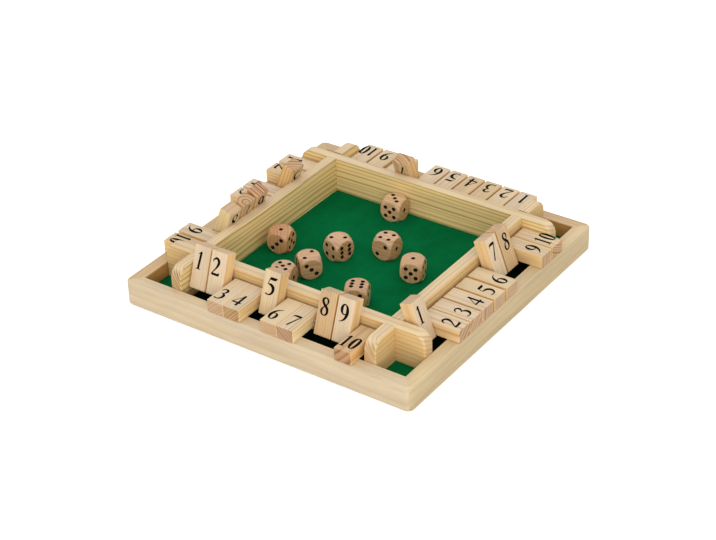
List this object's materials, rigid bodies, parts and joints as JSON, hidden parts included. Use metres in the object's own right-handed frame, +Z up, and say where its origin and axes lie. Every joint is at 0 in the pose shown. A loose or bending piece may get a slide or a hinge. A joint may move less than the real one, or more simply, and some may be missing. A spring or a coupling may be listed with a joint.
{
  "type": "shut the box game",
  "caption": "Square wooden shut the box game: a felt-lined dice arena inside low walls, with numbered flip-over tiles hinged on steel rods along each side, and loose dice.",
  "frame": {"origin": "centre of the board, on the table it stands on", "axes": "+X runs to the right along the front row of tiles, +Y from the front to the back, +Z up"},
  "size_m": [0.3, 0.3, 0.0615],
  "materials": {
    "rail_wood": "waxed pine, satin",
    "wall_wood": "waxed pine, satin",
    "panel_wood": "bare plywood, matte",
    "felt": "pressed wool felt, matte",
    "rod_steel": "drawn bar",
    "tile_wood": "waxed pine, satin, numerals printed in black",
    "die_wood": "bare beech, black pips"
  },
  "bodies": {
    "board": {"front_rail": "rail_wood", "right_rail": "rail_wood", "back_rail": "rail_wood", "left_rail": "rail_wood", "front_wall": "wall_wood", "right_wall": "wall_wood", "back_wall": "wall_wood", "left_wall": "wall_wood", "base_panel": "panel_wood", "felt_sheet": "felt", "hinge_rods": "rod_steel"},
    "tile_front_1": {"tile_front_1": "tile_wood"},
    "tile_front_2": {"tile_front_2": "tile_wood"},
    "tile_front_3": {"tile_front_3": "tile_wood"},
    "tile_front_4": {"tile_front_4": "tile_wood"},
    "tile_front_5": {"tile_front_5": "tile_wood"},
    "tile_front_6": {"tile_front_6": "tile_wood"},
    "tile_front_7": {"tile_front_7": "tile_wood"},
    "tile_front_8": {"tile_front_8": "tile_wood"},
    "tile_front_9": {"tile_front_9": "tile_wood"},
    "tile_front_10": {"tile_front_10": "tile_wood"},
    "tile_right_1": {"tile_right_1": "tile_wood"},
    "tile_right_2": {"tile_right_2": "tile_wood"},
    "tile_right_3": {"tile_right_3": "tile_wood"},
    "tile_right_4": {"tile_right_4": "tile_wood"},
    "tile_right_5": {"tile_right_5": "tile_wood"},
    "tile_right_6": {"tile_right_6": "tile_wood"},
    "tile_right_7": {"tile_right_7": "tile_wood"},
    "tile_right_8": {"tile_right_8": "tile_wood"},
    "tile_right_9": {"tile_right_9": "tile_wood"},
    "tile_right_10": {"tile_right_10": "tile_wood"},
    "tile_back_1": {"tile_back_1": "tile_wood"},
    "tile_back_2": {"tile_back_2": "tile_wood"},
    "tile_back_3": {"tile_back_3": "tile_wood"},
    "tile_back_4": {"tile_back_4": "tile_wood"},
    "tile_back_5": {"tile_back_5": "tile_wood"},
    "tile_back_6": {"tile_back_6": "tile_wood"},
    "tile_back_7": {"tile_back_7": "tile_wood"},
    "tile_back_8": {"tile_back_8": "tile_wood"},
    "tile_back_9": {"tile_back_9": "tile_wood"},
    "tile_back_10": {"tile_back_10": "tile_wood"},
    "tile_left_1": {"tile_left_1": "tile_wood"},
    "tile_left_2": {"tile_left_2": "tile_wood"},
    "tile_left_3": {"tile_left_3": "tile_wood"},
    "tile_left_4": {"tile_left_4": "tile_wood"},
    "tile_left_5": {"tile_left_5": "tile_wood"},
    "tile_left_6": {"tile_left_6": "tile_wood"},
    "tile_left_7": {"tile_left_7": "tile_wood"},
    "tile_left_8": {"tile_left_8": "tile_wood"},
    "tile_left_9": {"tile_left_9": "tile_wood"},
    "tile_left_10": {"tile_left_10": "tile_wood"},
    "die_1": {"die_1": "die_wood"},
    "die_2": {"die_2": "die_wood"},
    "die_3": {"die_3": "die_wood"},
    "die_4": {"die_4": "die_wood"},
    "die_5": {"die_5": "die_wood"},
    "die_6": {"die_6": "die_wood"},
    "die_7": {"die_7": "die_wood"},
    "die_8": {"die_8": "die_wood"}
  },
  "joints": [
    {"name": "tile_front_1_hinge", "type": "hinge", "parent": "board", "child": "tile_front_1", "pos_m": [0, -0.11892, 0.0308], "axis": [-1, 0, 0], "range_deg": [-110.49, 0]},
    {"name": "tile_front_2_hinge", "type": "hinge", "parent": "board", "child": "tile_front_2", "pos_m": [0, -0.11892, 0.0308], "axis": [-1, 0, 0], "range_deg": [-110.49, 0]},
    {"name": "tile_front_3_hinge", "type": "hinge", "parent": "board", "child": "tile_front_3", "pos_m": [0, -0.11892, 0.0308], "axis": [-1, 0, 0], "range_deg": [0, 110.49]},
    {"name": "tile_front_4_hinge", "type": "hinge", "parent": "board", "child": "tile_front_4", "pos_m": [0, -0.11892, 0.0308], "axis": [-1, 0, 0], "range_deg": [0, 110.49]},
    {"name": "tile_front_5_hinge", "type": "hinge", "parent": "board", "child": "tile_front_5", "pos_m": [0, -0.11892, 0.0308], "axis": [-1, 0, 0], "range_deg": [-110.49, 0]},
    {"name": "tile_front_6_hinge", "type": "hinge", "parent": "board", "child": "tile_front_6", "pos_m": [0, -0.11892, 0.0308], "axis": [-1, 0, 0], "range_deg": [0, 110.49]},
    {"name": "tile_front_7_hinge", "type": "hinge", "parent": "board", "child": "tile_front_7", "pos_m": [0, -0.11892, 0.0308], "axis": [-1, 0, 0], "range_deg": [0, 110.49]},
    {"name": "tile_front_8_hinge", "type": "hinge", "parent": "board", "child": "tile_front_8", "pos_m": [0, -0.11892, 0.0308], "axis": [-1, 0, 0], "range_deg": [-110.49, 0]},
    {"name": "tile_front_9_hinge", "type": "hinge", "parent": "board", "child": "tile_front_9", "pos_m": [0, -0.11892, 0.0308], "axis": [-1, 0, 0], "range_deg": [-110.49, 0]},
    {"name": "tile_front_10_hinge", "type": "hinge", "parent": "board", "child": "tile_front_10", "pos_m": [0, -0.11892, 0.0308], "axis": [-1, 0, 0], "range_deg": [0, 110.49]},
    {"name": "tile_right_1_hinge", "type": "hinge", "parent": "board", "child": "tile_right_1", "pos_m": [0.11892, 0, 0.0308], "axis": [0, -1, 0], "range_deg": [-110.49, 0]},
    {"name": "tile_right_2_hinge", "type": "hinge", "parent": "board", "child": "tile_right_2", "pos_m": [0.11892, 0, 0.0308], "axis": [0, -1, 0], "range_deg": [0, 110.49]},
    {"name": "tile_right_3_hinge", "type": "hinge", "parent": "board", "child": "tile_right_3", "pos_m": [0.11892, 0, 0.0308], "axis": [0, -1, 0], "range_deg": [0, 110.49]},
    {"name": "tile_right_4_hinge", "type": "hinge", "parent": "board", "child": "tile_right_4", "pos_m": [0.11892, 0, 0.0308], "axis": [0, -1, 0], "range_deg": [0, 110.49]},
    {"name": "tile_right_5_hinge", "type": "hinge", "parent": "board", "child": "tile_right_5", "pos_m": [0.11892, 0, 0.0308], "axis": [0, -1, 0], "range_deg": [0, 110.49]},
    {"name": "tile_right_6_hinge", "type": "hinge", "parent": "board", "child": "tile_right_6", "pos_m": [0.11892, 0, 0.0308], "axis": [0, -1, 0], "range_deg": [0, 110.49]},
    {"name": "tile_right_7_hinge", "type": "hinge", "parent": "board", "child": "tile_right_7", "pos_m": [0.11892, 0, 0.0308], "axis": [0, -1, 0], "range_deg": [-110.49, 0]},
    {"name": "tile_right_8_hinge", "type": "hinge", "parent": "board", "child": "tile_right_8", "pos_m": [0.11892, 0, 0.0308], "axis": [0, -1, 0], "range_deg": [-110.49, 0]},
    {"name": "tile_right_9_hinge", "type": "hinge", "parent": "board", "child": "tile_right_9", "pos_m": [0.11892, 0, 0.0308], "axis": [0, -1, 0], "range_deg": [0, 110.49]},
    {"name": "tile_right_10_hinge", "type": "hinge", "parent": "board", "child": "tile_right_10", "pos_m": [0.11892, 0, 0.0308], "axis": [0, -1, 0], "range_deg": [0, 110.49]},
    {"name": "tile_back_1_hinge", "type": "hinge", "parent": "board", "child": "tile_back_1", "pos_m": [0, 0.11892, 0.0308], "axis": [1, 0, 0], "range_deg": [0, 110.49]},
    {"name": "tile_back_2_hinge", "type": "hinge", "parent": "board", "child": "tile_back_2", "pos_m": [0, 0.11892, 0.0308], "axis": [1, 0, 0], "range_deg": [0, 110.49]},
    {"name": "tile_back_3_hinge", "type": "hinge", "parent": "board", "child": "tile_back_3", "pos_m": [0, 0.11892, 0.0308], "axis": [1, 0, 0], "range_deg": [0, 110.49]},
    {"name": "tile_back_4_hinge", "type": "hinge", "parent": "board", "child": "tile_back_4", "pos_m": [0, 0.11892, 0.0308], "axis": [1, 0, 0], "range_deg": [0, 110.49]},
    {"name": "tile_back_5_hinge", "type": "hinge", "parent": "board", "child": "tile_back_5", "pos_m": [0, 0.11892, 0.0308], "axis": [1, 0, 0], "range_deg": [0, 110.49]},
    {"name": "tile_back_6_hinge", "type": "hinge", "parent": "board", "child": "tile_back_6", "pos_m": [0, 0.11892, 0.0308], "axis": [1, 0, 0], "range_deg": [0, 110.49]},
    {"name": "tile_back_7_hinge", "type": "hinge", "parent": "board", "child": "tile_back_7", "pos_m": [0, 0.11892, 0.0308], "axis": [1, 0, 0], "range_deg": [-110.49, 0]},
    {"name": "tile_back_8_hinge", "type": "hinge", "parent": "board", "child": "tile_back_8", "pos_m": [0, 0.11892, 0.0308], "axis": [1, 0, 0], "range_deg": [0, 110.49]},
    {"name": "tile_back_9_hinge", "type": "hinge", "parent": "board", "child": "tile_back_9", "pos_m": [0, 0.11892, 0.0308], "axis": [1, 0, 0], "range_deg": [0, 110.49]},
    {"name": "tile_back_10_hinge", "type": "hinge", "parent": "board", "child": "tile_back_10", "pos_m": [0, 0.11892, 0.0308], "axis": [1, 0, 0], "range_deg": [0, 110.49]},
    {"name": "tile_left_1_hinge", "type": "hinge", "parent": "board", "child": "tile_left_1", "pos_m": [-0.11892, 0, 0.0308], "axis": [0, 1, 0], "range_deg": [0, 110.49]},
    {"name": "tile_left_2_hinge", "type": "hinge", "parent": "board", "child": "tile_left_2", "pos_m": [-0.11892, 0, 0.0308], "axis": [0, 1, 0], "range_deg": [0, 110.49]},
    {"name": "tile_left_3_hinge", "type": "hinge", "parent": "board", "child": "tile_left_3", "pos_m": [-0.11892, 0, 0.0308], "axis": [0, 1, 0], "range_deg": [-110.49, 0]},
    {"name": "tile_left_4_hinge", "type": "hinge", "parent": "board", "child": "tile_left_4", "pos_m": [-0.11892, 0, 0.0308], "axis": [0, 1, 0], "range_deg": [0, 110.49]},
    {"name": "tile_left_5_hinge", "type": "hinge", "parent": "board", "child": "tile_left_5", "pos_m": [-0.11892, 0, 0.0308], "axis": [0, 1, 0], "range_deg": [0, 110.49]},
    {"name": "tile_left_6_hinge", "type": "hinge", "parent": "board", "child": "tile_left_6", "pos_m": [-0.11892, 0, 0.0308], "axis": [0, 1, 0], "range_deg": [-110.49, 0]},
    {"name": "tile_left_7_hinge", "type": "hinge", "parent": "board", "child": "tile_left_7", "pos_m": [-0.11892, 0, 0.0308], "axis": [0, 1, 0], "range_deg": [-110.49, 0]},
    {"name": "tile_left_8_hinge", "type": "hinge", "parent": "board", "child": "tile_left_8", "pos_m": [-0.11892, 0, 0.0308], "axis": [0, 1, 0], "range_deg": [-110.49, 0]},
    {"name": "tile_left_9_hinge", "type": "hinge", "parent": "board", "child": "tile_left_9", "pos_m": [-0.11892, 0, 0.0308], "axis": [0, 1, 0], "range_deg": [0, 110.49]},
    {"name": "tile_left_10_hinge", "type": "hinge", "parent": "board", "child": "tile_left_10", "pos_m": [-0.11892, 0, 0.0308], "axis": [0, 1, 0], "range_deg": [0, 110.49]},
    {"name": "die_1_lift", "type": "slide", "parent": "board", "child": "die_1", "axis": [0, 0, 1], "range_m": [0, 0.08]},
    {"name": "die_2_lift", "type": "slide", "parent": "board", "child": "die_2", "axis": [0, 0, 1], "range_m": [0, 0.08]},
    {"name": "die_3_lift", "type": "slide", "parent": "board", "child": "die_3", "axis": [0, 0, 1], "range_m": [0, 0.08]},
    {"name": "die_4_lift", "type": "slide", "parent": "board", "child": "die_4", "axis": [0, 0, 1], "range_m": [0, 0.08]},
    {"name": "die_5_lift", "type": "slide", "parent": "board", "child": "die_5", "axis": [0, 0, 1], "range_m": [0, 0.08]},
    {"name": "die_6_lift", "type": "slide", "parent": "board", "child": "die_6", "axis": [0, 0, 1], "range_m": [0, 0.08]},
    {"name": "die_7_lift", "type": "slide", "parent": "board", "child": "die_7", "axis": [0, 0, 1], "range_m": [0, 0.08]},
    {"name": "die_8_lift", "type": "slide", "parent": "board", "child": "die_8", "axis": [0, 0, 1], "range_m": [0, 0.08]}
  ]
}
